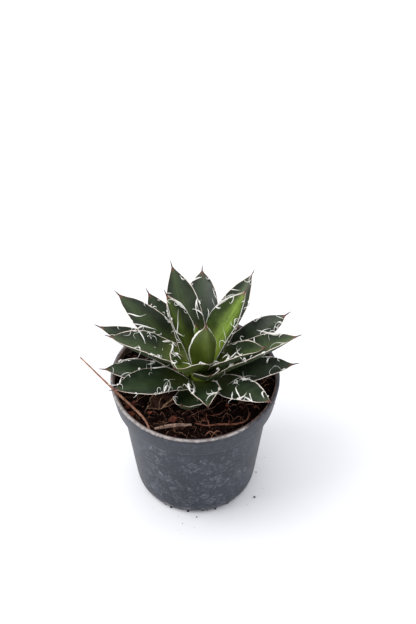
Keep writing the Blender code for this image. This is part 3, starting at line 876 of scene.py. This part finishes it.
class Rosette:
    """The plant: every leaf round a short stem, and the closed bud."""

    SKINS = {
        Age.OUTER: LeafSkin(
            name="outer_leaf_skin",
            edge="#1a2614",
            centre="#374628",
            root="#454e1e",
            tip="#464b35",
            underside="#3a4630",
            bloom="#3f4f3b",
            bloom_share=0.38,
        ),
        Age.MIDDLE: LeafSkin(
            name="middle_leaf_skin",
            edge="#1f2a16",
            centre="#46572a",
            # Painted light: this root colour is much brighter than the face, to lift the shade in the
            # rosette's middle.
            root="#8c9c48",
            tip="#4e5438",
            underside="#303b24",
            bloom="#425138",
            bloom_share=0.30,
        ),
        Age.INNER: LeafSkin(
            name="inner_leaf_skin",
            edge="#2c3b0e",
            centre="#7a9436",
            root="#7d8f30",
            tip="#6c7044",
            underside="#3e4814",
            bloom="#6a8048",
            bloom_share=0.06,
        ),
    }
    HABITS: dict[str, dict[str, float]] = {
        "leaf_back": {"fullness": 3.0},
        "leaf_right_back": {"fullness": 2.8},
        "leaf_back_left": {"fullness": 2.6},
        "leaf_back_right": {"fullness": 2.3, "breadth": 0.95, "tint_and_painted_shade": -0.8},
        "leaf_front": {"fullness": 1.3, "widest": 0.45, "breadth": 0.96, "threads": 16, "clear": 0.68},
        "leaf_front_low": {"threads": 8, "clear": 0.70},
        "leaf_left_low": {"fullness": 2.8},
        # Painted shade: this leaf lies in the shadow of another leaf, and is darkened for it.
        "leaf_right_low": {"tint_and_painted_shade": -2.5},
        "leaf_right_front": {"fullness": 1.9},
        "leaf_left": {"breadth": 1.14, "curl": 0.34, "far_curl": -0.10, "tint_and_painted_shade": -0.9},
        "leaf_left_back": {"tint_and_painted_shade": -0.9},
        "leaf_left_front": {"breadth": 1.16},
        "leaf_left_back_low": {"curl": 0.20},
        "leaf_right": {"curl": 0.26},
        "leaf_inner_front_right": {"curl": 0.32, "threads": 14, "tint_and_painted_shade": 1.3},
        "leaf_inner_front_left": {"curl": 0.20, "threads": 12, "strips": 0.05},
        "leaf_inner_front": {"threads": 2},
        "leaf_inner_right": {
            "breadth": 1.20,
            "curl": 0.22,
            "band_width": 1.5 * MM,
            "threads": 11,
            "bare": 0.40,
            "tint_and_painted_shade": 1.2,
        },
        # Painted shade: this upright inner leaf is darkened far below the inner skin, for the shade it stands
        # in.
        "leaf_inner_left": {
            "breadth": 0.94,
            "band_width": 2.6 * MM,
            "threads": 9,
            "bare": 0.40,
            "tint_and_painted_shade": -3.8,
        },
        "leaf_heart": {
            "fullness": 1.5,
            "widest": 0.38,
            "band_width": 2.8 * MM,
            "threads": 2,
            "bare": 0.5,
            "tint_and_painted_shade": 0.5,
        },
    }
    MIDDLE_FROM = 0.42  # the seats' height, as a share of the highest, from which leaves count as middle
    INNER_FROM = 0.84
    BUD_LEAN = 5  # degrees towards -X
    BUD_SPINE_FROM = 0.86  # where the bud's spine starts, as a share of its height

    def __init__(self) -> None:
        """Read the stem's box and find the leaves among the nodes."""
        self.stem_low, self.stem_high = (np.array(corner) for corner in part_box("stem"))
        self.axis = (self.stem_low + self.stem_high)[:2] / 2
        self.nodes = sorted(name for name in frame["nodes"] if name.startswith("leaf_"))

    def build(self) -> None:
        """Make every leaf, the stem and the bud."""
        gauges = {node: LeafGauge.read(node, self.axis) for node in self.nodes}
        seats = {node: gauge.base[2] for node, gauge in gauges.items()}
        slots = {part["node"]: part["material_slot"] for part in frame["record"]["subparts"]}
        low, high = min(seats.values()), max(seats.values())
        skins = {age: skin.make() for age, skin in self.SKINS.items()}
        edge, spine = HornyEdge().make(), SpineHorn().make()
        for number, node in enumerate(self.nodes):
            height = (seats[node] - low) / (high - low)
            slot = slots[node]
            grown = Age.MIDDLE if height > self.MIDDLE_FROM else Age.OUTER
            age = Age.INNER if height > self.INNER_FROM else grown
            leaf = AgaveLeaf(node, gauges[node], 11 + number, **self.HABITS.get(node, {}))
            hand_over(leaf.make_blade(skins[age]), slot, node)
            hand_over(leaf.make_edge(edge), slot)
            hand_over(leaf.make_spine(spine), slot)
        self.build_stem(skins[Age.INNER])
        self.build_bud(skins[Age.INNER], spine)

    def build_stem(self, finish: bpy.types.Material) -> None:
        """The stem: a column whose skin swells with the roots of leaves, in a spiral of bumps."""
        rows, columns = 60, 48
        t = np.linspace(0, 1, rows)[:, None]
        turn = circle(columns)
        radius = (self.stem_high - self.stem_low)[0] / 2
        low, high = self.stem_low[2], self.stem_high[2]
        body = radius * (1 - 0.45 * ease(0.5, 1.0, t)) * (0.7 + 0.3 * ease(0.0, 0.1, t))
        bumps = 0.05 * np.abs(np.sin(2.5 * turn + 22 * t)) * ease(0.3, 0.45, t)
        body = body * (1 + bumps)
        place = np.array([*self.axis, low]) + turned(body, turn, (high - low) * t)
        points, faces = tubes(place[None])
        uv = tube_uv(np.full(columns, 0.5), 0.05 + 0.1 * t[:, 0], 0.5)
        piece = make_piece("stem_column", points, faces, finish, uv, np.full(len(points), -0.5))
        hand_over(piece, "stem_flesh", "stem")

    def build_bud(self, finish: bpy.types.Material, horn: bpy.types.Material) -> None:
        """The bud: a slim cone of rolled leaves. Its radius falls as (1 - t)^0.75 and steps at each edge."""
        low, high = (np.array(corner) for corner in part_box("central_bud"))
        rows, columns = 50, 40
        t = np.linspace(0, 1, rows)[:, None]
        turn = circle(columns)
        foot = np.array([*self.axis, low[2]])
        width, tall = (high - low)[1] / 2, (high - low)[2]
        lean = np.array([-math.tan(math.radians(self.BUD_LEAN)) * tall, 0.0, 0.0])
        roll = ((2 * turn / (2 * np.pi) + 0.9 * t) % 1.0) ** 3
        radius = width * (1 - t) ** 0.75 * (0.80 + 0.2 * ease(0, 0.3, t)) * (1 + 0.12 * roll) + 0.1 * MM
        place = foot + lean * t[..., None] + turned(radius, turn, (tall - 1.5 * MM) * t)
        points, faces = tubes(place[None])
        uv = tube_uv(np.full(columns, 0.5), 0.25 + 0.7 * t[:, 0], 0.5)
        piece = make_piece("bud_cone", points, faces, finish, uv, np.full(len(points), 0.3))
        hand_over(piece, "young_leaf", "central_bud")
        rows, columns = 12, 10
        s = np.linspace(0, 1, rows)[:, None]
        thick = 0.7 * MM * (1 - s) ** 0.8 + 0.04 * MM
        share = self.BUD_SPINE_FROM + (1 - self.BUD_SPINE_FROM) * s
        place = foot + lean * share[..., None] + turned(thick, circle(columns), tall * share)
        points, faces = tubes(place[None])
        uv = tube_uv(np.zeros(columns), s[:, 0])
        hand_over(make_piece("bud_spine", points, faces, horn, uv), "young_leaf")


# ---------------------------------------------------------------- pot


def rounded_profile(corners: list[tuple[float, float, float]], steps: int = 5) -> Array:
    """A closed outline with its corners rounded.

    Args:
        corners: radius, height and rounding of each corner, in metres.
        steps: points on each rounded corner, which follows the quadratic curve of its three control points.

    Returns:
        The outline's points as radius and height.
    """
    given = np.array(corners)
    here, size = given[:, :2], given[:, 2:]
    before, after = np.roll(here, 1, axis=0), np.roll(here, -1, axis=0)
    start, end = (
        here + unit(other - here) * np.minimum(size, 0.45 * np.linalg.norm(other - here, axis=1)[:, None])
        for other in (before, after)
    )
    t = np.linspace(0, 1, steps)[None, :, None]
    curve = start[:, None] * (1 - t) ** 2 + 2 * here[:, None] * t * (1 - t) + end[:, None] * t**2
    return curve.reshape(-1, 2)


@dataclass
class NurseryPot:
    """The pot: a turned shell with a band, a lip and a foot ring, and a floor with drain holes."""

    wall: float = 1.2 * MM
    lip_width: float = 2.8 * MM
    band: float = 16 * MM
    band_taper: float = 3 * MM
    shoulder_inset: float = 6.8 * MM
    shoulder_drop: float = 2.2 * MM
    heel_inset: float = 14.1 * MM
    heel_height: float = 8.4 * MM
    foot_inset: float = 17.5 * MM
    foot_width: float = 3.6 * MM
    floor_height: float = 3.0 * MM
    pad: float = 8 * MM
    pad_steps: int = 48
    holes: int = 8
    hole_radius: float = 3.5 * MM
    hole_circle: float = 21 * MM
    steps: int = 200

    def __post_init__(self) -> None:
        """Read the rim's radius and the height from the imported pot."""
        low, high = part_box("nursery_pot")
        self.rim = (high.x - low.x) / 2
        self.height = high.z

    def build(self) -> None:
        """Make the shell and the floor."""
        finish = PotPlastic(self.rim, self.height, self.height - self.band).make()
        hand_over(self.make_shell(finish), "pot_plastic", "nursery_pot")
        hand_over(self.make_floor(finish), "pot_plastic")

    def outline(self) -> Array:
        """The shell's section, down its outer side and up its inner side."""
        top, rim = self.height, self.rim
        band_foot = top - self.band
        shoulder = band_foot - self.shoulder_drop
        foot = rim - self.foot_inset
        inner_foot = foot - self.foot_width
        floor = self.floor_height
        corners = [
            (rim, top, 1.1 * MM),
            (rim - 0.5 * MM, top - 3.2 * MM, 1.0 * MM),
            (rim - self.band_taper, band_foot, 1.0 * MM),
            (rim - self.shoulder_inset, shoulder, 1.6 * MM),
            (rim - self.heel_inset, self.heel_height, 4.0 * MM),
            (rim - self.heel_inset - 0.9 * MM, 0.42 * self.heel_height, 2.5 * MM),
            (foot, 0.0, 0.7 * MM),
            (inner_foot, 0.0, 0.6 * MM),
            (inner_foot - 0.8 * MM, floor, 0.5 * MM),
            (inner_foot - 0.8 * MM, floor + self.wall, 0.1 * MM),
            (inner_foot + 0.2 * MM, floor + self.wall, 0.8 * MM),
            (rim - self.heel_inset - self.wall, self.heel_height, 2.5 * MM),
            (rim - self.shoulder_inset - self.wall, shoulder + 0.6 * MM, 1.0 * MM),
            (rim - self.band_taper - self.wall, band_foot + 1.4 * MM, 1.0 * MM),
            (rim - 0.8 * MM - self.wall, top - 3.9 * MM, 0.6 * MM),
            (rim - self.lip_width, top - 2.4 * MM, 0.5 * MM),
            (rim - self.lip_width, top, 0.8 * MM),
        ]
        return rounded_profile(corners)

    def make_shell(self, finish: bpy.types.Material) -> bpy.types.Object:
        """The shell: its section turned about the axis, with the lip a little out of true."""
        section = self.outline()
        turn = circle(self.steps)[:, None]
        radius, height = section[None, :, 0], section[None, :, 1]
        high = ease(self.height - self.band, self.height, height)
        radius = radius - high * 0.25 * MM * (1 + np.cos(2 * turn + 0.7))
        height = height - high * 0.18 * MM * (1 + np.sin(3 * turn))
        points = turned(radius, turn, height).reshape(-1, 3)
        faces = grid_faces(self.steps + 1, len(section), True) % len(points)
        return make_piece("pot_shell", points, faces[:, ::-1], finish)

    def make_floor(self, finish: bpy.types.Material) -> bpy.types.Object:
        """The floor: patches that each blend from a round hole out to a sector's outline, and a pad."""
        inner, outer = self.pad, self.rim - self.foot_inset - self.foot_width
        half = np.pi / self.holes
        side = 9
        share = np.linspace(0, 1, side, endpoint=False)
        radii = np.concatenate([np.full(side, outer), outer + (inner - outer) * share])
        radii = np.concatenate([radii, np.full(side, inner), inner + (outer - inner) * share])
        turns = np.concatenate([-half + 2 * half * share, np.full(side, half)])
        turns = np.concatenate([turns, half - 2 * half * share, np.full(side, -half)])
        outline = np.stack([radii * np.cos(turns), radii * np.sin(turns)], axis=-1)
        middle = np.array([self.hole_circle, 0.0])
        hole = middle + self.hole_radius * unit(outline - middle)
        blend = np.linspace(0, 1, 5)[:, None, None]
        flat = outline + (hole - outline) * blend
        low, high = self.floor_height, self.floor_height + self.wall
        top = np.concatenate([flat, np.full((*flat.shape[:2], 1), high)], axis=-1)
        bottom = np.concatenate([flat, np.full((*flat.shape[:2], 1), low)], axis=-1)
        patch = np.concatenate([top, bottom[::-1]])
        corners = patch.shape[1]
        faces = grid_faces(len(patch), corners, True)
        arcs = np.concatenate([np.arange(side), np.arange(2 * side, 3 * side)])
        last = (len(patch) - 1) * corners
        after = (arcs + 1) % corners
        walls = np.stack([after, arcs, last + arcs, last + after], axis=1)
        faces = np.concatenate([faces, walls])
        angle = 2 * np.pi * (np.arange(self.holes) + 0.5) / self.holes
        x, y, z = patch.reshape(-1, 3).T
        cosine, sine = np.cos(angle)[:, None], np.sin(angle)[:, None]
        points = spread(cosine * x - sine * y, sine * x + cosine * y, z).reshape(-1, 3)
        faces = (faces[None] + (np.arange(self.holes) * len(x))[:, None, None]).reshape(-1, 4)
        rows = np.array([[0.2, 1.0], [0.9, 1.0], [1.0, 0.98], [1.0, 0.03], [0.97, 0.0], [0.1, 0.0]])
        pad = turned(rows[:, :1] * (self.pad + 0.4 * MM), circle(self.pad_steps), rows[:, 1:] * high)
        pad_points, pad_faces = tubes(pad[None])
        faces = np.concatenate([faces, pad_faces[:, ::-1] + len(points)])
        points = np.concatenate([points, pad_points])
        points, index = np.unique(np.round(points, 7), axis=0, return_inverse=True)
        return make_piece("pot_floor", points, index.reshape(-1)[faces], finish, smooth=False)


# ---------------------------------------------------------------- soil and litter


@dataclass
class Compost:
    """The soil: a broken surface with crumbs, coir fibres and bark flakes on it."""

    pot: NurseryPot
    rings: int = 110
    steps: int = 240
    relief: float = 1.5 * MM
    crumbs: int = 1500
    fibres: int = 440
    flakes: int = 80
    seed: int = 5

    def __post_init__(self) -> None:
        """Read the soil's level and radius from the packed soil."""
        low, high = (np.array(corner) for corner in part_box("potting_soil"))
        self.floor = low[2]
        self.radius = (high - low)[0] / 2
        self.level = high[2] - 1.0 * MM
        self.rng = np.random.default_rng(self.seed)

    def lift(self, x: Array, y: Array) -> Array:
        """The surface's height: clods, lumps and grains of noise, and a rise of 0.8 mm towards the edge."""
        at = np.stack([x, y, np.zeros_like(x)], axis=-1)
        clods = waves(at, 22 * MM, 1) * 0.7 + waves(at, 8 * MM, 2) * 0.6
        grains = np.abs(waves(at, 3.4 * MM, 3)) * 0.5 + waves(at, 1.7 * MM, 4) * 0.22
        away = np.hypot(x, y) / self.radius
        return self.level + self.relief * (clods + grains - 0.6) + 0.8 * MM * ease(0.75, 1.0, away)

    def build(self) -> None:
        """Make the soil and what lies loose on it."""
        earth = Earth().make()
        hand_over(self.make_bed(earth), "compost", "potting_soil")
        hand_over(self.make_crumbs(earth), "compost")
        coir = DryFibre("coir_fibre", "#2c140f", "#a3765f").make()
        hand_over(self.make_fibres(coir), "root_fibre")
        bark = DryFibre("pine_bark_flake", "#2a120d", "#8a4a36", 2 * MM, 0.85).make()
        hand_over(self.make_flakes(bark), "bark")

    def make_bed(self, finish: bpy.types.Material) -> bpy.types.Object:
        """The bed: a turned solid whose top follows lift(x, y) and whose side follows the pot's inside."""
        turn = circle(self.steps)
        top = np.linspace(0.004, 1.0, self.rings)[:, None] * self.radius
        upper = turned(top, turn, 0.0)
        upper[..., 2] = self.lift(upper[..., 0], upper[..., 1])
        pot = self.pot
        step = pot.height - pot.band
        inset = pot.wall + 0.3 * MM
        side = np.array(
            [
                [pot.rim - pot.band_taper - inset, step + 1.4 * MM],
                [pot.rim - pot.shoulder_inset - inset, step - pot.shoulder_drop],
                [pot.rim - pot.heel_inset - inset, pot.heel_height],
                [pot.rim - pot.foot_inset - pot.foot_width - inset, self.floor],
                [1 * MM, self.floor],
            ]
        )
        lower = turned(side[:, :1], turn, side[:, 1:])
        points, faces = tubes(np.concatenate([upper, lower])[None])
        return make_piece("soil_bed", points, faces[:, ::-1], finish)

    def scatter(self, count: int, reach: float) -> tuple[Array, Array]:
        """Random places on the soil, even over its area, out to a share of its radius."""
        radius = self.radius * reach * np.sqrt(self.rng.uniform(0.01, 1, count))
        turn = self.rng.uniform(0, 2 * np.pi, count)
        return radius * np.cos(turn), radius * np.sin(turn)

    def make_crumbs(self, finish: bpy.types.Material) -> bpy.types.Object:
        """Crumbs: lumpy balls of 6 by 4 points, 0.5 to 2 mm across, half sunk in the bed."""
        rng, count, rows, columns = self.rng, self.crumbs, 4, 6
        x, y = self.scatter(count, 0.985)
        size = rng.gamma(3.0, 0.22 * MM, count).clip(0.25 * MM, 1.5 * MM)
        lumps = ball(rows, columns, 0.35) * rng.uniform(0.65, 1.35, (count, rows, columns, 1))
        squash = rng.uniform(0.6, 1.3, (count, 1, 1, 3)) * size[:, None, None, None]
        centre = np.stack([x, y, self.lift(x, y) + 0.25 * size], axis=-1)
        points, faces = tubes(centre[:, None, None] + lumps * squash)
        return make_piece("soil_crumbs", points, faces, finish, smooth=False)

    def make_fibres(self, finish: bpy.types.Material) -> bpy.types.Object:
        """Coir fibres: thin strands whose heading wanders, lying on the bed or arching a little over it."""
        rng, count, steps, corners = self.rng, self.fibres, 12, 5
        x, y = self.scatter(count, 0.93)
        length = rng.gamma(2.5, 3.6 * MM, count).clip(3 * MM, 24 * MM)
        heading = rng.uniform(0, 2 * np.pi, (count, 1))
        heading = heading + np.cumsum(rng.normal(0, 0.16, (count, steps)), axis=1)
        heading = heading + rng.uniform(-0.08, 0.08, (count, 1)) * np.arange(steps)
        step = length[:, None] / (steps - 1)
        along = np.stack([np.cos(heading), np.sin(heading), np.zeros_like(heading)], axis=-1)
        path = np.cumsum(along * step[..., None], axis=1) + np.stack([x, y, np.zeros(count)], -1)[:, None]
        away = np.hypot(path[..., 0], path[..., 1])
        path[..., :2] *= np.minimum(1.0, self.radius * 0.975 / away)[..., None]
        t = np.linspace(0, 1, steps)
        arch = rng.gamma(1.2, 1.1 * MM, (count, 1)) * np.sin(np.pi * t)
        path[..., 2] = self.lift(path[..., 0], path[..., 1]) + 0.15 * MM + arch
        path[..., 2] = np.minimum(path[..., 2], self.level + 4.5 * MM)
        radius = rng.uniform(0.07, 0.22, (count, 1)) * MM * (1 - 0.6 * t)
        level = np.stack([-along[..., 1], along[..., 0], along[..., 2]], axis=-1)
        around = circle(corners)
        above = np.array([0.0, 0.0, 1.0])
        ring = level[:, :, None] * np.cos(around)[:, None] + above * np.sin(around)[:, None]
        points, faces = tubes(path[:, :, None] + ring * radius[..., None, None])
        tones = np.repeat(rng.uniform(-0.8, 0.75, count), steps * corners + 2)
        return make_piece("coir_fibres", points, faces, finish, tones=tones)

    def make_flakes(self, finish: bpy.types.Material) -> bpy.types.Object:
        """Bark flakes: flat lumps of 8 by 4 points, 2 to 5 mm long, at odd tilts."""
        rng, count, rows, columns = self.rng, self.flakes, 4, 8
        x, y = self.scatter(count, 0.93)
        size = rng.uniform(0.9, 2.4, count) * MM
        lumps = ball(rows, columns, 0.5) * rng.uniform(0.7, 1.25, (count, rows, columns, 1))
        proportions = (np.ones(count), rng.uniform(0.45, 0.8, count), rng.uniform(0.2, 0.4, count))
        lumps = lumps * np.stack(proportions, axis=-1)[:, None, None]
        turns = np.linalg.qr(rng.normal(size=(count, 3, 3)) * np.array([1, 1, 0.25]) + np.eye(3) * 1.6)[0]
        lumps = np.einsum("nabi,nij->nabj", lumps, turns) * size[:, None, None, None]
        centre = np.stack([x, y, self.lift(x, y) + 0.35 * size], axis=-1)
        volume = np.linalg.det(turns)
        lumps = np.where(volume[:, None, None, None] > 0, lumps, lumps[:, :, ::-1])
        points, faces = tubes(centre[:, None, None] + lumps)
        tones = np.repeat(rng.uniform(-0.6, 0.5, count), rows * columns + 2)
        return make_piece("bark_flakes", points, faces, finish, tones=tones, smooth=False)


class Litter:
    """What fell on the soil: straw, roots and a twig, bark chips, and a spent leaf."""

    FINISHES = {
        "long_straw": DryFibre("dry_straw", "#6f4738", "#b0866f", 3 * MM, 0.6),
        "twig": DryFibre("weathered_twig", "#47322b", "#ab8e7e", 1.6 * MM, 0.85),
        "root": DryFibre("dry_root", "#4a271d", "#8e5f4c", 2 * MM),
        "bark_chip": DryFibre("pine_bark_chip", "#2a120d", "#733a28", 2.5 * MM, 0.85),
    }
    LIKE_ROOT = ("fibre_1", "fibre_2", "fibre_3")

    def __init__(self, axis: Array) -> None:
        """Take the stem's axis, which the spent leaf is measured from."""
        self.axis = axis

    def build(self) -> None:
        """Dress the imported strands, and make the chips and the spent leaf again."""
        finishes = {name: finish.make() for name, finish in self.FINISHES.items()}
        strands = {node: finishes[node] for node in ("long_straw", "twig", "root")}
        strands |= {node: finishes["root"] for node in self.LIKE_ROOT}
        for node, finish in strands.items():
            mesh = frame["nodes"][node].data
            mesh.materials.clear()
            mesh.materials.append(finish)
            LOG.info("%s keeps its packed shape", node)
        chips = sorted(name for name in frame["nodes"] if name.startswith("bark_chip"))
        for number, node in enumerate(chips):
            hand_over(self.make_chip(node, 60 + number, finishes["bark_chip"]), "bark", node)
        self.build_spent_leaf()

    def make_chip(self, node: str, seed: int, finish: bpy.types.Material) -> bpy.types.Object:
        """A chip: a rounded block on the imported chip's axes, |x|^p + |y|^p + |z|^p = 1, flaked by noise."""
        packed = np.unique(np.round(places(frame["nodes"][node].data), 6), axis=0)
        centre = (packed.max(0) + packed.min(0)) / 2
        axes = np.linalg.svd(packed - packed.mean(0))[2]
        axes[2] = np.cross(axes[0], axes[1])
        reach = np.abs((packed - centre) @ axes.T).max(0)
        sphere, power = ball(20, 30, 0.12), 3.2
        block = sphere / (np.abs(sphere) ** power).sum(-1, keepdims=True) ** (1 / power) * reach
        flaked = 0.86 + 0.10 * waves(block, 2.4 * MM, seed) + 0.05 * waves(block, 1.0 * MM, seed + 1)
        block = (block * np.clip(flaked, 0.6, 1.0)[..., None]) @ axes + centre
        points, faces = tubes(block[None])
        return make_piece(f"{node}_flake", points, faces, finish, tones=np.full(len(points), -0.15))

    def build_spent_leaf(self) -> None:
        """The spent leaf: a dry blade with a paler edge, both crumpled by noise at 9 and 4 mm."""
        gauge = LeafGauge.read("dead_leaf", self.axis)
        leaf = AgaveLeaf("dead_leaf", gauge, 77, ripple=0.5 * MM, root_share=0.6, root=0.0, threads=9)
        papery = DryFibre("papery_dead_leaf", "#150b08", "#432a20", 4 * MM, 0.8).make()
        frayed = DryFibre("frayed_leaf_edge", "#6f4f3c", "#bd9879", 2 * MM, 0.8).make()
        for piece, nodes in ((leaf.make_blade(papery), ("dead_leaf",)), (leaf.make_edge(frayed), ())):
            points = places(piece.data)
            flat = points * [1, 1, 0]
            points[:, 2] += 0.9 * MM * waves(flat, 9 * MM, 8) + 0.35 * MM * waves(flat, 4 * MM, 9)
            piece.data.vertices.foreach_set("co", points.astype(np.float32).ravel())
            piece.data.update()
            hand_over(piece, "dried_leaf", *nodes)


# ---------------------------------------------------------------- studio


@dataclass
class Studio:
    """A white table, soft light from the upper left, and a camera that looks down at about 45 degrees."""

    pot: NurseryPot
    lens: float = 85.0
    tilt: float = 44.7
    camera_place: tuple[float, float, float] = (7.9 * MM, -606.7 * MM, 758.5 * MM)
    table: float = 3.0
    spilled: int = 24
    sky: str = "#f6f8fd"
    sky_strength: float = 0.95
    AIM: ClassVar[tuple[float, float, float]] = (0.0, 0.0, 80 * MM)
    LIGHTS: ClassVar[dict[str, tuple[tuple[float, float, float], float, float]]] = {
        "key": ((-0.75, -0.10, 1.1), 0.8, 8.5),  # place and width in metres, power in watts
        "top": ((0.05, 0.40, 1.5), 1.2, 4.5),
        "front": ((0.3, -1.4, 0.7), 0.9, 1.2),
    }

    def build(self) -> None:
        """Make the floor, the lights, the sky and the camera."""
        half = self.table / 2
        points = np.array([[-half, -half, 0], [half, -half, 0], [half, half, 0], [-half, half, 0]])
        board = WhiteBoard().make()
        floor = make_piece("studio_floor", points, np.array([[0, 1, 2, 3]]), board, smooth=False)
        self.make_spill()
        for name, (place, size, power) in self.LIGHTS.items():
            self.add_light(name, place, size, power)
        world = bpy.data.worlds.new("soft_room")
        world.use_nodes = True
        sky = world.node_tree.nodes["Background"]
        sky.inputs["Color"].default_value = linear(self.sky)
        sky.inputs["Strength"].default_value = self.sky_strength
        bpy.context.scene.world = world
        bpy.context.scene.view_settings.view_transform = "Standard"
        camera = bpy.data.objects.new("camera", bpy.data.cameras.new("camera"))
        camera.data.lens = self.lens
        camera.location = self.camera_place
        camera.rotation_euler = (math.radians(self.tilt), 0.0, 0.0)
        camera.data.clip_start = 0.01
        bpy.context.scene.collection.objects.link(camera)
        bpy.context.scene.camera = camera

    def make_spill(self) -> bpy.types.Object:
        """Crumbs of soil that fell on the table: small lumpy balls, half of them against the pot's foot."""
        rng, count, rows, columns = np.random.default_rng(21), self.spilled, 4, 6
        foot = self.pot.rim - self.pot.foot_inset
        clinging = np.arange(count) < count // 2
        turn = np.where(clinging, rng.uniform(-2.3, -0.9, count), rng.uniform(-2.3, 0.4, count))
        away = foot + np.where(clinging, 0.3 * MM, rng.gamma(1.6, 5 * MM, count))
        size = rng.gamma(2.2, 0.13 * MM, count).clip(0.15 * MM, 0.6 * MM) * np.where(clinging, 2.0, 1.1)
        lumps = ball(rows, columns, 0.35) * rng.uniform(0.65, 1.35, (count, rows, columns, 1))
        centre = turned(away, turn, 0.8 * size)
        points, faces = tubes(centre[:, None, None] + lumps * size[:, None, None, None])
        return make_piece("spilled_crumbs", points, faces, Earth("spilled_compost").make(), smooth=False)

    def add_light(self, name: str, place: tuple[float, float, float], size: float, power: float) -> None:
        """A square soft box that faces the middle of the plant."""
        lamp = bpy.data.lights.new(name, "AREA")
        lamp.size = size
        lamp.energy = power
        light = bpy.data.objects.new(name, lamp)
        back = unit(np.array(place) - np.array(self.AIM))
        light.location = place
        light.rotation_euler = (math.acos(back[2]), 0.0, math.atan2(back[1], back[0]) + math.pi / 2)
        bpy.context.scene.collection.objects.link(light)


def main() -> None:
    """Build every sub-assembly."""
    logging.basicConfig(level=logging.INFO, format="%(message)s")
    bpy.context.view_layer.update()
    pot = NurseryPot()
    pot.build()
    Compost(pot).build()
    rosette = Rosette()
    rosette.build()
    Litter(rosette.axis).build()
    Studio(pot).build()


if __name__ == "__main__":
    main()
